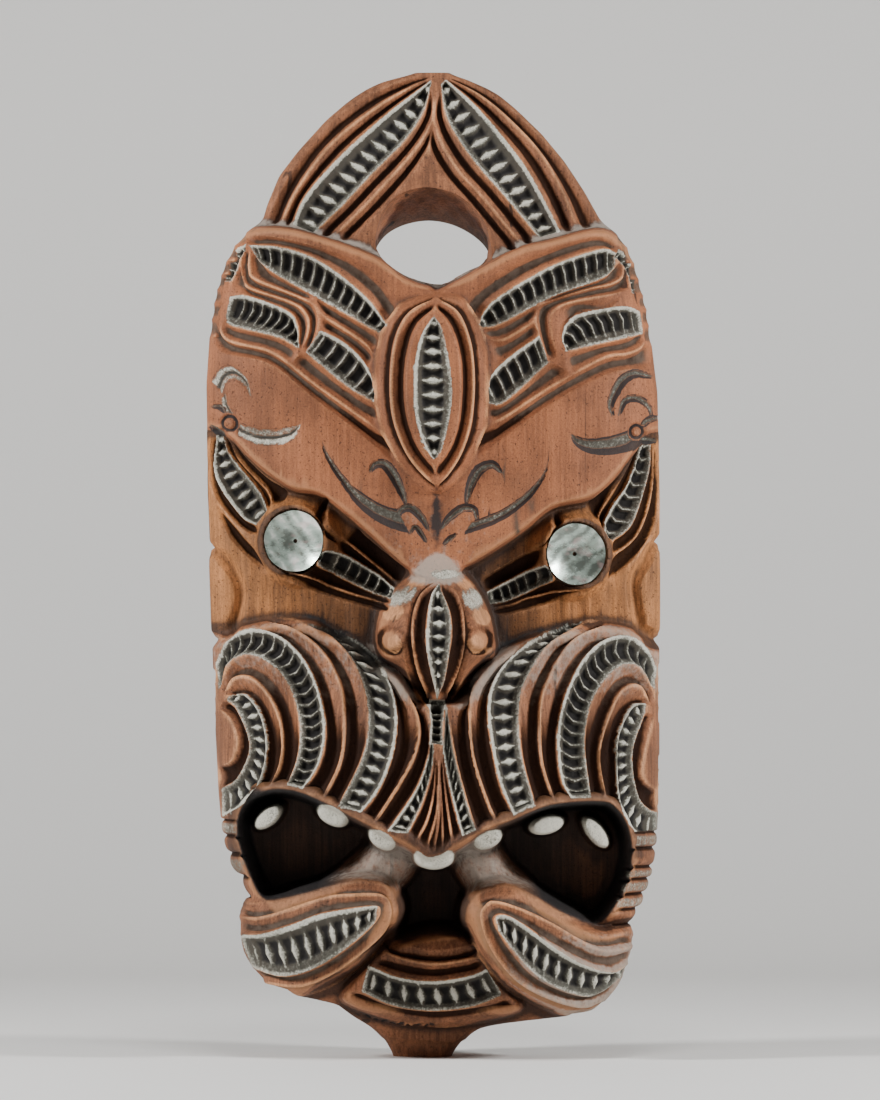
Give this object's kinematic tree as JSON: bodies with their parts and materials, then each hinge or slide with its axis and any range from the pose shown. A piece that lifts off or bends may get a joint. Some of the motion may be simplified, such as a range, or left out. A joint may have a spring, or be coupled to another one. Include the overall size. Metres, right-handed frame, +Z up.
{
  "type": "gable mask",
  "caption": "Carved wooden gable mask with a pierced crown, scrolled lips, an open mouth and dished shell eyes, flat at the back for fixing to a gable.",
  "frame": {"origin": "on the flat back face, on the centre line, at half the mask's height", "axes": "+Z up towards the crown's tip, +Y out of the back face, the face looks along -Y"},
  "size_m": [0.3004, 0.1443, 0.65],
  "materials": {
    "carved_wood": "oiled, worn, with pale pigment in the notches",
    "shell": "polished nacre, a hard glossy shell"
  },
  "bodies": {
    "root": {"mask_body": "carved_wood", "eye_shell_left": "shell", "eye_shell_right": "shell"}
  },
  "joints": []
}
